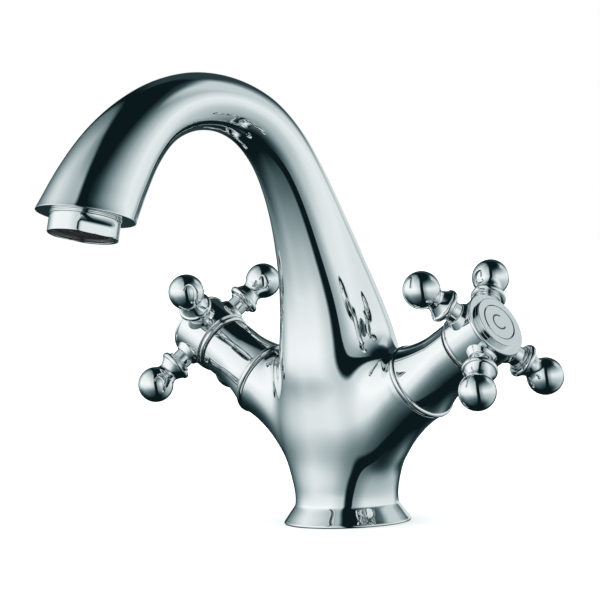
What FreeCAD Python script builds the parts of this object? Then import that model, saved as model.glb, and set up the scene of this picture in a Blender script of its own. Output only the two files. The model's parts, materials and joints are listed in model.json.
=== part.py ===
"""Two-handle basin mixer: a cast body with a gooseneck spout and two sloping quarter-turn valves.

Millimetres. The origin is the centre of the foot on the deck, +Z is up, the spout reaches
towards -Y, the cold valve is on +X and the hot valve on -X. The two sides are mirror images.

A valve is drawn once, in its own frame: Z runs out along the valve's axis from the point where
that axis crosses the body's centre line, Y is the body's Y, and X points down and outwards.
"""
import FreeCAD, Part
import math
import os

from FreeCAD import Placement, Rotation, Vector

# ---- fits ----
THREAD_GAP = 0.05  # radial, between a thread and its hole, both drawn as plain cylinders
RUNNING_GAP = 0.05  # radial, between the spindle and its bore
SLIP_GAP = 0.2  # between pieces that drop into each other
MOVING_GAP = 0.3  # between a moving piece and its fixed neighbour
PAST = 0.1  # how far a cutter runs past the face that it opens

# ---- foot and column ----
FOOT_RADIUS = 25.0
FOOT_LIP = 1.0  # height of the upright edge round the foot
FOOT_EDGE = 0.5  # rounding of the foot's lower edge
FLARE_HEIGHT = 7.0  # where the foot's flare meets the waist
FLARE_HOLLOW = 0.2  # of the flare, inwards from a straight cone
WAIST_HEIGHT = 8.5
WAIST_RADIUS = 20.3
FLARE_RADIUS = 20.6  # at the crease on top of the flare
SHOULDER_HEIGHT = 60.0  # where the column turns into the spout
SHOULDER_RADIUS = 24.4
SHOULDER_FORWARD = 1.0  # of the section's centre, towards the spout
SHOULDER_LEAN = 7.5  # degrees from the vertical
# height above the deck, half width across the valves, half depth from front to back
COLUMN = [
    (13.0, 20.6, 20.4),
    (18.0, 21.9, 20.7),
    (24.0, 24.0, 21.1),
    (31.0, 26.5, 22.0),
    (40.0, 27.5, 23.0),
    (50.0, 26.0, 23.8),
]

# ---- spout ----
SPOUT_REACH = 135.4  # from the body's centre line to the centre of the mouth
CREST_HEIGHT = 164.7  # of the spout's centre line above the deck
MOUTH_TILT = 14.7  # degrees between the mouth's axis and the vertical
MOUTH_RADIUS = 18.3
# share of the reach, share of the rise from shoulder to crest, outside radius, and degrees
# that the section leans forward from the level
SPOUT = [
    (0.031, 0.184, 21.46, 12.5),
    (0.091, 0.439, 16.24, 19.8),
    (0.173, 0.689, 12.81, 27.8),
    (0.303, 0.904, 11.28, 52.5),
    (0.493, 1.000, 10.67, 83.1),
    (0.688, 0.973, 11.49, 109.3),
    (0.848, 0.847, 14.28, 134.5),
    (0.968, 0.666, 17.12, 153.0),
]
MOUTH_RISE = 0.609  # height of the mouth, as a share of the rise
SPOUT_WALL = 3.2
MIXING_FLOOR = 47.5  # height of the floor of the mixing chamber

# ---- valve arms of the casting ----
VALVE_TILT = 30.7  # degrees between the valve's axis and the deck
VALVE_HEIGHT = 31.9  # where the valve's axis crosses the body's centre line
RIM_AT = 45.5  # distance of the arm's rim along the valve's axis
RIM_RADIUS = 15.45
RIM_BEAD = 1.8  # length of the bead round the rim
RIM_STEP = 0.1  # from the arm's skin to the bead's end
ARM_START = 2.7  # distance of the first section along the valve's axis
# share of the way to the rim's bead, sag below the valve's axis, radius, degrees of lean
ARM = [
    (0.0, 10.1, 14.5, -26.0),
    (0.371, 4.2, 15.0, -16.6),
    (0.661, 1.4, 14.54, -9.8),
    (0.908, 0.15, 14.8, -3.9),
    (1.0, 0.0, 15.0, 0.0),
]
ARM_FILLET = 10.0  # where an arm runs into the column
ROOT_REACH = 20.0  # how far above the shoulder that seam can come

# ---- water inlets and stud, in the inlet block ----
BLOCK_RADIUS = 17.0
BLOCK_HEIGHT = 14.0
INLET_RADIUS = 5.0  # M10 hose thread
INLET_DEPTH = 11.0
INLET_OFFSET = 8.0
CHANNEL_RADIUS = 3.5
STUD_RADIUS = 4.0  # M8 fixing stud
STUD_DEPTH = 11.0
STUD_OFFSET = 10.5
SEAL_INNER = 20.5
SEAL_OUTER = 23.1
SEAL_HEIGHT = 2.0

# ---- cartridge: along the valve's axis from the seat, unless a comment says otherwise ----
CHAMBER_DEPTH = 25.5  # from the rim down to the seat
CHAMBER_RADIUS = 9.3
THREAD_RADIUS = 10.35  # G 1/2
THREAD_LENGTH = 12.5  # below the rim
CAGE_RADIUS = 8.6  # outside of the cartridge's lower end
CAGE_WALL = 0.8
CAGE_START = 1.2
CAGE_WINDOWS = 4
CAGE_WINDOW = 5.2  # width
CAGE_SILL = 0.8  # from the moving disc's lower face up to a window
CAGE_LINTEL = 0.6  # from a window up to the cage's roof
SEAL_THICKNESS = 2.6
SEAT_SEAL_BORE = 4.0
DISC_THICKNESS = 3.0
DISC_WINDOW = 38.0  # degrees each side of a window's middle
WINDOW_INNER = 2.2
WINDOW_OUTER = 5.4
FLANGE_RADIUS = 13.2
FLANGE_THICKNESS = 1.6
HEX_ACROSS = 20.0
HEX_HEIGHT = 5.0
NECK_RADIUS = 8.5
NECK_TOP = 20.5  # above the rim
ORING_SECTION = 0.72
ORING_STRETCH = 0.25  # its inside over the thread
ORING_ROOM = 0.5  # round its outside
ORING_PLAY = 0.06  # along the axis

# ---- spindle ----
SPINDLE_RADIUS = 4.5
SPLINE_RADIUS = 4.0
SPLINE_TEETH = 20
SPLINE_GROOVE = 0.3  # radius of the gap between two teeth
SPLINE_START = 1.2  # above the hub's lower edge
CARRIER_THICKNESS = 3.2
CARRIER_WIDTH = 4.6
DOG_WIDTH = 2.8
DOG_LENGTH = 1.35
DOG_INSET = 0.15  # from the carrier's edge
DOG_DEPTH = 1.8
SPINDLE_RING_SECTION = 0.6
SPINDLE_RING_SQUEEZE = 0.03
SPINDLE_RING_PLAY = 0.15  # each side along the axis
SPINDLE_RINGS_AT = (4.5, 9.5)  # above the rim
CLIP_THICKNESS = 0.9
CLIP_RADIUS = 6.4
CLIP_GROOVE = 0.8  # depth of the circlip's groove
CLIP_PLAY = 0.05
CLIP_MOUTH = 4.4  # width of its opening

# ---- bonnet cover ----
BONNET_LENGTH = 27.0
BONNET_BEAD_RADIUS = 15.85
BONNET_BEAD_LENGTH = 2.7
BONNET_BEAD_STEP = 0.6  # from the bead's crown down to its ends
BONNET_SHOULDER = 15.0
BONNET_FLARE = (1.15, 9.0)  # halfway: over the neck's radius, and above the rim
BONNET_NECK = 16.5  # start of the straight neck above the rim
BONNET_RADIUS = 12.0
BONNET_WALL = 1.2
BONNET_EDGE = 0.3  # chamfer at its end
HEX_CLEARANCE = 0.8
WEB_AT = 14.5  # underside of the threaded web above the rim
WEB_THICKNESS = 3.0
WEB_ROOT = 2.0  # thickened length below the web

# ---- handle hub ----
HUB_RADIUS = 13.0
HUB_LENGTH = 17.3
HUB_BEAD_LENGTH = 2.4
HUB_BEAD_RADIUS = 12.7
HUB_BEAD_STEP = 0.5  # from the bead's crown down to its start
HUB_GROOVE = 0.4  # radial and axial, between the bead and the barrel
HUB_RIM_RADIUS = 13.3
HUB_RIM_HEIGHT = 1.5
SPIGOT_LENGTH = 2.0
SPIGOT_WALL = 1.5
DIAL_RADIUS = 10.4
DIAL_HEIGHT = 1.8
DIAL_EDGE = 0.4
CROSS_AT = 10.4  # plane of the four handle arms above the hub's lower edge
SPLINE_LENGTH = 5.3
HUB_WEB = 1.7
SCREW_POCKET = 4.6  # radius
BOSS_SEAT = 14.2  # distance of the arm's seat from the hub's axis
BOSS_RADIUS = 4.5
BOSS_ROOT_RADIUS = 6.3
BOSS_ROOT = 11.6

# ---- handle arms: radius, and distance from the hub's axis ----
CROSS_ANGLE = 49.0  # degrees from the valve frame's X to the first arm
ARM_COUNT = 4
ARM_STUD_RADIUS = 2.5  # M5
ARM_STUD_LENGTH = 7.4
BALL_AT = 31.1
BALL_RADIUS = 7.22
NECK_INNER = 4.0
NECK_OUTER = 4.3
NECK_WAIST = 7.2  # from the ball's centre back to the thinnest place
COLLAR_RADIUS = 6.8
COLLAR_BACK = 5.5  # from the waist back to the collar's foot
COLLAR_LENGTH = 2.3
COLLAR_STEP = 0.8  # from the collar's crown down to its foot
COLLAR_FALL = 0.25  # from the collar's crown down to its outer edge
THROAT = (0.75, 3.9)  # halfway to the waist: over its radius, and out from the collar's foot
THIN_BEAD_STEP = 1.0
THIN_BEAD_LENGTH = 1.1

# ---- screw and index cap ----
SCREW_RADIUS = 2.0  # M4
SCREW_LENGTH = 11.0
SCREW_HEAD_RADIUS = 4.0
SCREW_HEAD_HEIGHT = 2.6
RECESS_REACH = 2.2  # of the cross recess from the axis
RECESS_WIDTH = 0.9
RECESS_DEPTH = 1.4
CAP_RADIUS = 7.2
CAP_THICKNESS = 2.0
CAP_SKIRT = 3.4
CAP_SKIRT_STEP = 0.6  # inwards from the cap's edge
CAP_SKIRT_WALL = 1.2  # behind the ring's groove
CAP_EDGE = 0.2
CAP_RING_SECTION = 0.65
CAP_RING_PLAY = 0.1
LETTER_DEPTH = 0.4
LETTER_SIZE = 3.0
LETTER_STROKE = 0.7
C_HALF_ANGLE = 132.0
H_SPREAD = 0.65  # share of its half height
NOTCH_WIDTH = 1.2  # of the pry notch in the dial, beside the cap
NOTCH_LENGTH = 1.1
NOTCH_DEPTH = 1.0
NOTCH_TURN = -44.0  # degrees from the valve frame's Y

# ---- aerator: along the mouth's axis, outwards from the spout's end ----
AERATOR_RADIUS = 12.9
AERATOR_LENGTH = 7.3
AERATOR_EDGE = 0.4
AERATOR_THREAD = 11.85  # M24
AERATOR_THREAD_LENGTH = 8.0
AERATOR_COLLAR = 0.4  # how far the collar stands out
AERATOR_COLLAR_LENGTH = 0.9
AERATOR_BORE = 10.2
AERATOR_WALL = 1.6  # at the outlet
AERATOR_LEDGE = 4.6
LEDGE_THICKNESS = 1.0
LEDGE_WIDTH = 1.0
FLATS_ACROSS = 22.6
FLATS_FROM = 3.1
FLATS_TURN = 21.0  # degrees
INSERT_WALL = 1.2
INSERT_CUP = 5.0  # depth
JET_COUNT = 12
JET_RADIUS = 0.9
JET_CIRCLE = 0.62  # share of the insert's radius
WASHER_THICKNESS = 2.0
WASHER_WIDTH = 2.5
MESH_THICKNESS = 0.6
MESH_PITCH = 2.2
MESH_SLOT = 1.4
MESH_BAR = 1.2

X = Vector(1, 0, 0)
Y = Vector(0, 1, 0)
Z = Vector(0, 0, 1)
ORIGIN = Vector(0, 0, 0)

SEAT_AT = RIM_AT - CHAMBER_DEPTH
THREAD_BORE = THREAD_RADIUS + THREAD_GAP
RING_POCKET = THREAD_RADIUS + 2 * ORING_SECTION + ORING_ROOM
RING_POCKET_DEPTH = 2 * ORING_SECTION + ORING_PLAY
BONNET_END = RIM_AT + BONNET_LENGTH
HUB_AT = BONNET_END + MOVING_GAP
HUB_TOP = HUB_AT + HUB_LENGTH
DIAL_TOP = HUB_TOP + DIAL_HEIGHT
SPLINE_AT = HUB_AT + SPLINE_START
SPINDLE_TOP = SPLINE_AT + SPLINE_LENGTH
HUB_WEB_AT = SPINDLE_TOP + SLIP_GAP
SCREW_SEAT = HUB_WEB_AT + HUB_WEB
DISC_AT = SEAT_AT + SEAL_THICKNESS
MOVING_DISC_AT = DISC_AT + DISC_THICKNESS
CARRIER_AT = MOVING_DISC_AT + DISC_THICKNESS + SLIP_GAP / 2
CAGE_BORE = CAGE_RADIUS - CAGE_WALL
CAGE_ROOF = CARRIER_AT + CARRIER_THICKNESS + MOVING_GAP
MOVING_DISC_RADIUS = CAGE_BORE - MOVING_GAP
CARRIER_RADIUS = MOVING_DISC_RADIUS - SLIP_GAP / 2
SPINDLE_BORE = SPINDLE_RADIUS + RUNNING_GAP
SPINDLE_RING_FLOOR = SPINDLE_BORE - SPINDLE_RING_SQUEEZE - 2 * SPINDLE_RING_SECTION
CLIP_AT = RIM_AT + NECK_TOP + SLIP_GAP
CAP_RECESS = CAP_RADIUS + SLIP_GAP / 2
CAP_FLOOR = DIAL_TOP - CAP_THICKNESS - CAP_SKIRT - SLIP_GAP
AERATOR_FLOOR = -(AERATOR_THREAD_LENGTH + WASHER_THICKNESS)


# ---- shapes ----
def lathe(*outline):
    """A solid turned about Z. A corner is (radius, height); a pair of points is an arc that
    passes through the first and ends at the second."""
    edges = []
    first = here = Vector(outline[0][0], 0, outline[0][1])
    for item in outline[1:]:
        if isinstance(item[0], tuple):
            through, end = [Vector(r, 0, h) for r, h in item]
            edges.append(Part.Arc(here, through, end).toShape())
        else:
            end = Vector(item[0], 0, item[1])
            edges.append(Part.LineSegment(here, end).toShape())
        here = end
    edges.append(Part.LineSegment(here, first).toShape())
    return Part.Face(Part.Wire(edges)).revolve(ORIGIN, Z, 360)


def rod(radius, low, high, x=0.0, y=0.0):
    return Part.makeCylinder(radius, high - low, Vector(x, y, low))


def sleeve(outer, inner, low, high):
    return rod(outer, low, high).cut(rod(inner, low, high))


def oring(section, inner, middle):
    return Part.makeTorus(inner + section, section, Vector(0, 0, middle))


def block(x, y, z):
    """A box from its (low, high) limits along each axis."""
    size = [high - low for low, high in (x, y, z)]
    return Part.makeBox(*size, Vector(x[0], y[0], z[0]))


def turned(shape, degrees, axis=Z):
    copy = shape.copy()
    copy.rotate(ORIGIN, axis, degrees)
    return copy


def pattern(shape, count):
    """Copies of a shape, evenly spaced round Z, as one shape."""
    return Part.makeCompound([turned(shape, 360.0 * i / count) for i in range(count)])


def sector(inner, outer, half_angle, low, high):
    """A window either side of X, cut through a disc."""
    wedge = Part.makeCylinder(outer, high - low, Vector(0, 0, low), Z, 2 * half_angle)
    return turned(wedge, -half_angle).cut(rod(inner, low, high))


def section(centre, along, across, wide, deep):
    """The outline of a tube there: a circle, or an ellipse that is wider across."""
    if wide == deep:
        circle = Part.Circle(centre, along, wide)
        circle.XAxis = across
        return Part.Wire([circle.toShape()])
    side = centre + across * wide
    front = centre + along.cross(across) * deep
    return Part.Wire([Part.Ellipse(side, front, centre).toShape()])


def leaning(degrees, sideways):
    """Z tipped over towards a direction that is square to it."""
    angle = math.radians(degrees)
    return Z * math.cos(angle) + sideways * math.sin(angle)


def tube(wires):
    """A smooth solid through closed outlines."""
    return Part.makeLoft(wires, True, False)


# ---- places ----
VALVE_PLACE = Placement(Vector(0, 0, VALVE_HEIGHT), Rotation(Y, 90 - VALVE_TILT))
RISE = CREST_HEIGHT - SHOULDER_HEIGHT
MOUTH = Vector(0, -SPOUT_REACH, SHOULDER_HEIGHT + MOUTH_RISE * RISE)
MOUTH_PLACE = Placement(MOUTH, Rotation(X, 180 - MOUTH_TILT))
MOUTH_AXIS = MOUTH_PLACE.Rotation.multVec(Z)


def placed(shape, place):
    copy = shape.copy()
    copy.Placement = place.multiply(copy.Placement)
    return copy


def on_cold(shape):
    return placed(shape, VALVE_PLACE)


def on_hot(shape):
    return on_cold(shape).mirror(ORIGIN, X)


def on_both(shape):
    return [on_cold(shape), on_hot(shape)]


# ---- body casting ----
def spout_centre(reach_share, rise_share):
    return Vector(0, -SPOUT_REACH * reach_share, SHOULDER_HEIGHT + RISE * rise_share)


def foot():
    """Turned foot: rounded lower edge, upright lip and a hollow flare up to the waist."""
    lip = FOOT_RADIUS - FOOT_EDGE
    corner = FOOT_EDGE * (1 - math.sqrt(0.5))
    flare_middle = (FOOT_RADIUS + FLARE_RADIUS) / 2 - FLARE_HOLLOW
    return lathe(
        (0, 0),
        (lip, 0),
        ((FOOT_RADIUS - corner, corner), (FOOT_RADIUS, FOOT_EDGE)),
        (FOOT_RADIUS, FOOT_LIP),
        ((flare_middle, (FOOT_LIP + FLARE_HEIGHT) / 2), (FLARE_RADIUS, FLARE_HEIGHT)),
        (WAIST_RADIUS, WAIST_HEIGHT),
        (0, WAIST_HEIGHT),
    )


def spout_section(station, wall=0.0):
    """The outline at one of the spout's stations, or of the water's channel inside it."""
    reach_share, rise_share, radius, lean = station
    core = radius - wall
    return section(spout_centre(reach_share, rise_share), leaning(lean, -Y), X, core, core)


def shoulder_section(wall=0.0):
    core = SHOULDER_RADIUS - wall
    centre = Vector(0, -SHOULDER_FORWARD, SHOULDER_HEIGHT)
    return section(centre, leaning(SHOULDER_LEAN, -Y), X, core, core)


def column_and_spout():
    wires = [section(Z * WAIST_HEIGHT, Z, X, WAIST_RADIUS, WAIST_RADIUS)]
    wires += [section(Z * height, Z, X, wide, deep) for height, wide, deep in COLUMN]
    wires.append(shoulder_section())
    wires += [spout_section(station) for station in SPOUT]
    wires.append(section(MOUTH, MOUTH_AXIS, X, MOUTH_RADIUS, MOUTH_RADIUS))
    return tube(wires)


def valve_arm():
    """One arm in the valve's frame, with the bead round its rim."""
    bead_at = RIM_AT - RIM_BEAD
    wires = []
    for share, sag, radius, lean in ARM:
        centre = Vector(sag, 0, ARM_START + share * (bead_at - ARM_START))
        wires.append(section(centre, leaning(lean, X), Y, radius, radius))
    arm = tube(wires)
    root = ARM[-1][2]
    bead = lathe(
        (0, bead_at),
        (root, bead_at),
        ((RIM_RADIUS, RIM_AT - RIM_BEAD / 2), (root + RIM_STEP, RIM_AT)),
        (0, RIM_AT),
    )
    return arm.fuse(bead)


def waterway():
    """The mixing chamber and the channel through the spout, down to the aerator's washer."""
    chamber = SHOULDER_RADIUS - SPOUT_WALL
    outlet = AERATOR_THREAD - WASHER_WIDTH
    end = MOUTH + MOUTH_AXIS * (AERATOR_FLOOR + PAST)
    wires = [section(Z * MIXING_FLOOR, Z, X, chamber, chamber), shoulder_section(SPOUT_WALL)]
    wires += [spout_section(station, SPOUT_WALL) for station in SPOUT[:-1]]
    wires.append(section(end, MOUTH_AXIS, X, outlet, outlet))
    return tube(wires)


def valve_bores():
    """Supply port, valve chamber, cartridge thread and O-ring pocket in the valve's frame."""
    port_from = INLET_OFFSET / math.cos(math.radians(VALVE_TILT))
    elbow = Part.makeSphere(CHANNEL_RADIUS, Vector(0, 0, port_from))
    return elbow.multiFuse([
        rod(CHANNEL_RADIUS, port_from, SEAT_AT + PAST),
        rod(CHAMBER_RADIUS, SEAT_AT, RIM_AT),
        rod(THREAD_BORE, RIM_AT - THREAD_LENGTH, RIM_AT + PAST),
        rod(RING_POCKET, RIM_AT - RING_POCKET_DEPTH, RIM_AT + PAST),
    ])


def body_casting():
    core = column_and_spout().fuse([foot()] + on_both(valve_arm()))
    core = core.removeSplitter()
    roots = [edge for edge in core.Edges if is_arm_root(edge)]
    core = core.makeFillet(ARM_FILLET, roots)
    elbow_height = VALVE_HEIGHT + INLET_OFFSET * math.tan(math.radians(VALVE_TILT))
    hollows = [
        waterway(),
        rod(BLOCK_RADIUS + THREAD_GAP, -PAST, BLOCK_HEIGHT),
        rod(CHANNEL_RADIUS, BLOCK_HEIGHT - PAST, elbow_height, x=INLET_OFFSET),
        rod(CHANNEL_RADIUS, BLOCK_HEIGHT - PAST, elbow_height, x=-INLET_OFFSET),
        sleeve(SEAL_OUTER + SLIP_GAP / 2, SEAL_INNER - SLIP_GAP / 2, -PAST, SEAL_HEIGHT),
        placed(rod(AERATOR_THREAD + THREAD_GAP, AERATOR_FLOOR, PAST), MOUTH_PLACE),
    ]
    return core.cut(hollows + on_both(valve_bores()))


def is_arm_root(edge):
    """True for the edges where an arm leaves the column: above the waist, clear of the rim."""
    box = edge.BoundBox
    rim = on_cold(Part.Vertex(0, 0, RIM_AT)).Point.x
    off_centre = min(abs(box.XMin), abs(box.XMax))
    return (
        edge.Length > ARM_FILLET
        and box.ZMin > 1.5 * WAIST_HEIGHT
        and box.ZMax < SHOULDER_HEIGHT + ROOT_REACH
        and off_centre > WAIST_RADIUS / 2
        and max(abs(box.XMin), abs(box.XMax)) < 0.8 * rim
        and box.XMin * box.XMax > 0
    )


# ---- foot pieces ----
def inlet_block():
    """Brass plug in the foot with the two hose threads and the fixing stud's thread."""
    plug = rod(BLOCK_RADIUS, 0, BLOCK_HEIGHT)
    holes = [rod(STUD_RADIUS, -PAST, STUD_DEPTH, y=STUD_OFFSET)]
    for x in (INLET_OFFSET, -INLET_OFFSET):
        holes.append(rod(INLET_RADIUS, -PAST, INLET_DEPTH, x=x))
        holes.append(rod(CHANNEL_RADIUS, 0, BLOCK_HEIGHT + PAST, x=x))
    return plug.cut(holes)


def base_seal_ring():
    return sleeve(SEAL_OUTER, SEAL_INNER, 0, SEAL_HEIGHT)


# ---- aerator, in the mouth's frame ----
def aerator_housing():
    """Threaded neck, thin collar against the spout, and a body with two wrench flats."""
    outlet = AERATOR_RADIUS - AERATOR_WALL
    ledge_top = AERATOR_LEDGE
    ledge_end = AERATOR_LEDGE + LEDGE_THICKNESS
    body = lathe(
        (AERATOR_BORE, -AERATOR_THREAD_LENGTH),
        (AERATOR_THREAD, -AERATOR_THREAD_LENGTH),
        (AERATOR_THREAD, 0),
        (AERATOR_RADIUS + AERATOR_COLLAR, 0),
        (AERATOR_RADIUS + AERATOR_COLLAR, AERATOR_COLLAR_LENGTH),
        (AERATOR_RADIUS, AERATOR_COLLAR_LENGTH),
        (AERATOR_RADIUS, AERATOR_LENGTH - AERATOR_EDGE),
        (AERATOR_RADIUS - AERATOR_EDGE, AERATOR_LENGTH),
        (outlet, AERATOR_LENGTH),
        (outlet, ledge_end),
        (AERATOR_BORE - LEDGE_WIDTH, ledge_end),
        (AERATOR_BORE - LEDGE_WIDTH, ledge_top),
        (AERATOR_BORE, ledge_top),
    )
    wide = (-AERATOR_RADIUS, AERATOR_RADIUS)
    beyond = (FLATS_ACROSS / 2, AERATOR_RADIUS + PAST)
    flat = block(beyond, wide, (FLATS_FROM, AERATOR_LENGTH + PAST))
    return body.cut(turned(pattern(flat, 2), FLATS_TURN))


def aerator_insert():
    """Plastic jet regulator: a cup with a ring of holes in its floor and a stop rim."""
    radius = AERATOR_BORE - SLIP_GAP / 2
    low = -AERATOR_THREAD_LENGTH
    cup = rod(radius, low, AERATOR_LEDGE)
    hollow = rod(radius - INSERT_WALL, low - PAST, low + INSERT_CUP)
    jet = rod(JET_RADIUS, low, AERATOR_LEDGE + PAST, x=radius * JET_CIRCLE)
    return cup.cut([hollow, pattern(jet, JET_COUNT)])


def aerator_mesh():
    """Outlet screen in the recess below the ledge, with slots in two directions."""
    low = AERATOR_LEDGE + LEDGE_THICKNESS
    high = low + MESH_THICKNESS
    screen = rod(AERATOR_RADIUS - AERATOR_WALL - SLIP_GAP / 2, low, high)
    reach = AERATOR_BORE - LEDGE_WIDTH
    rows = int((reach - MESH_SLOT) / MESH_PITCH)
    tall = (low - PAST, high + PAST)
    slots = []
    for row in range(-rows, rows + 1):
        middle = row * MESH_PITCH
        wide = (middle - MESH_SLOT / 2, middle + MESH_SLOT / 2)
        half = math.sqrt(reach ** 2 - (abs(middle) + MESH_SLOT / 2) ** 2)
        slots += [block((-half, -MESH_BAR / 2), wide, tall), block((MESH_BAR / 2, half), wide, tall)]
    return screen.cut(slots)


def aerator_washer():
    inner = AERATOR_THREAD - WASHER_WIDTH
    return sleeve(AERATOR_THREAD, inner, AERATOR_FLOOR, -AERATOR_THREAD_LENGTH)


# ---- cartridge, in the valve's frame ----
def cartridge_body():
    """Brass headwork: caged lower end, G 1/2 thread, flange, hexagon and threaded neck."""
    cage_low = SEAT_AT + CAGE_START
    thread_low = RIM_AT - THREAD_LENGTH
    flange_top = RIM_AT + FLANGE_THICKNESS
    hex_top = flange_top + HEX_HEIGHT
    neck_top = RIM_AT + NECK_TOP
    turning = lathe(
        (CAGE_BORE, cage_low),
        (CAGE_RADIUS, cage_low),
        (CAGE_RADIUS, thread_low),
        (THREAD_RADIUS, thread_low),
        (THREAD_RADIUS, RIM_AT),
        (FLANGE_RADIUS, RIM_AT),
        (FLANGE_RADIUS, flange_top),
        (NECK_RADIUS, flange_top),
        (NECK_RADIUS, neck_top),
        (SPINDLE_BORE, neck_top),
        (SPINDLE_BORE, CAGE_ROOF),
        (CAGE_BORE, CAGE_ROOF),
    )
    corner = HEX_ACROSS / math.sqrt(3)
    corners = [turned(Part.Vertex(corner, 0, flange_top), 60 * i).Point for i in range(7)]
    nut = Part.Face(Part.makePolygon(corners)).extrude(Z * HEX_HEIGHT)
    nut = nut.cut(rod(SPINDLE_BORE, flange_top, hex_top))
    wide = (-CAGE_WINDOW / 2, CAGE_WINDOW / 2)
    tall = (MOVING_DISC_AT + CAGE_SILL, CAGE_ROOF - CAGE_LINTEL)
    windows = pattern(block((0, CHAMBER_RADIUS), wide, tall), CAGE_WINDOWS)
    return turning.fuse(nut).cut(turned(windows, 180 / CAGE_WINDOWS))


def cartridge_o_ring():
    return oring(ORING_SECTION, THREAD_RADIUS + ORING_STRETCH, RIM_AT - RING_POCKET_DEPTH / 2)


def seat_seal():
    return sleeve(CAGE_BORE - SLIP_GAP, SEAT_SEAL_BORE, SEAT_AT, DISC_AT)


def ceramic_disc(radius, low, turn):
    """Disc with two windows, on a line turned that far from X."""
    high = low + DISC_THICKNESS
    window = sector(WINDOW_INNER, WINDOW_OUTER, DISC_WINDOW, low - PAST, high + PAST)
    return rod(radius, low, high).cut(turned(pattern(window, 2), turn))


def fixed_disc():
    return ceramic_disc(CAGE_BORE - SLIP_GAP / 2, DISC_AT, 0)


def moving_disc():
    """Turned across the fixed disc's windows while shut, with two notches for the dogs."""
    gap = SLIP_GAP / 2
    top = MOVING_DISC_AT + DISC_THICKNESS
    wide = (-DOG_WIDTH / 2 - gap, DOG_WIDTH / 2 + gap)
    deep = (CARRIER_RADIUS - DOG_INSET - DOG_LENGTH - SLIP_GAP, MOVING_DISC_RADIUS + PAST)
    notch = block(deep, wide, (top - DOG_DEPTH - gap, top + PAST))
    return ceramic_disc(MOVING_DISC_RADIUS, MOVING_DISC_AT, 90).cut(pattern(notch, 2))


def spindle():
    """Carrier with two dogs, shaft with seal and circlip grooves, splined end, tapped hole."""
    carrier_top = CARRIER_AT + CARRIER_THICKNESS
    width = (-CARRIER_WIDTH / 2, CARRIER_WIDTH / 2)
    carrier = block((-CARRIER_RADIUS, CARRIER_RADIUS), width, (CARRIER_AT, carrier_top))
    carrier = carrier.common(rod(CARRIER_RADIUS, CARRIER_AT, carrier_top))
    dog_end = CARRIER_RADIUS - DOG_INSET
    dog = block((dog_end - DOG_LENGTH, dog_end), (-DOG_WIDTH / 2, DOG_WIDTH / 2),
                (CARRIER_AT - DOG_DEPTH, CARRIER_AT))
    shaft = rod(SPINDLE_RADIUS, CARRIER_AT, SPLINE_AT).fuse(
        rod(SPLINE_RADIUS, SPLINE_AT, SPINDLE_TOP))
    cuts = [rod(SCREW_RADIUS + THREAD_GAP, SPINDLE_TOP - SCREW_LENGTH, SPINDLE_TOP + PAST)]
    outside = SPINDLE_RADIUS + PAST
    half = SPINDLE_RING_SECTION + SPINDLE_RING_PLAY
    for height in SPINDLE_RINGS_AT:
        middle = RIM_AT + height
        cuts.append(sleeve(outside, SPINDLE_RING_FLOOR, middle - half, middle + half))
    clip_floor = SPINDLE_RADIUS - CLIP_GROOVE
    cuts.append(sleeve(outside, clip_floor, CLIP_AT, CLIP_AT + CLIP_THICKNESS))
    tooth_gap = rod(SPLINE_GROOVE, SPLINE_AT, SPINDLE_TOP + PAST, x=SPLINE_RADIUS + THREAD_GAP)
    cuts.append(pattern(tooth_gap, SPLINE_TEETH))
    return carrier.multiFuse([shaft, pattern(dog, 2)]).cut(cuts)


def spindle_o_rings():
    return Part.makeCompound([
        oring(SPINDLE_RING_SECTION, SPINDLE_RING_FLOOR, RIM_AT + height)
        for height in SPINDLE_RINGS_AT
    ])


def circlip():
    inner = SPINDLE_RADIUS - CLIP_GROOVE + CLIP_PLAY
    low, high = CLIP_AT + CLIP_PLAY, CLIP_AT + CLIP_THICKNESS - CLIP_PLAY
    wide = (-CLIP_MOUTH / 2, CLIP_MOUTH / 2)
    mouth = block((0, CLIP_RADIUS + PAST), wide, (low - PAST, high + PAST))
    return sleeve(CLIP_RADIUS, inner, low, high).cut(mouth)


def bonnet_cover():
    """Chromed sleeve over the cartridge: bead on the arm's rim, hollow flare, long neck."""
    bead_end = RIM_AT + BONNET_BEAD_LENGTH
    shoulder_at = bead_end + SLIP_GAP
    bead_root = BONNET_BEAD_RADIUS - BONNET_BEAD_STEP
    flange_room = FLANGE_RADIUS + MOVING_GAP
    inner = BONNET_RADIUS - BONNET_WALL
    hex_room = HEX_ACROSS / math.sqrt(3) + HEX_CLEARANCE
    hex_top = RIM_AT + FLANGE_THICKNESS + HEX_HEIGHT + SLIP_GAP
    web_low = RIM_AT + WEB_AT
    web_high = web_low + WEB_THICKNESS
    web_bore = NECK_RADIUS + THREAD_GAP
    return lathe(
        (flange_room, RIM_AT),
        (bead_root, RIM_AT),
        ((BONNET_BEAD_RADIUS, RIM_AT + BONNET_BEAD_LENGTH / 2), (bead_root, bead_end)),
        (BONNET_SHOULDER, shoulder_at),
        ((BONNET_RADIUS + BONNET_FLARE[0], RIM_AT + BONNET_FLARE[1]),
         (BONNET_RADIUS, RIM_AT + BONNET_NECK)),
        (BONNET_RADIUS, BONNET_END - BONNET_EDGE),
        (BONNET_RADIUS - BONNET_EDGE, BONNET_END),
        (inner, BONNET_END),
        (inner, web_high),
        (web_bore, web_high),
        (web_bore, web_low),
        (inner, web_low),
        (inner, web_low - WEB_ROOT),
        (hex_room, hex_top),
        (flange_room, shoulder_at),
    )


# ---- handle, in the valve's frame ----
def radial(shape, index):
    """Lay a shape drawn along Z out along one of the handle's arms."""
    laid = turned(turned(shape, 90, Y), CROSS_ANGLE + 360.0 * index / ARM_COUNT)
    laid.translate(Vector(0, 0, HUB_AT + CROSS_AT))
    return laid


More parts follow.
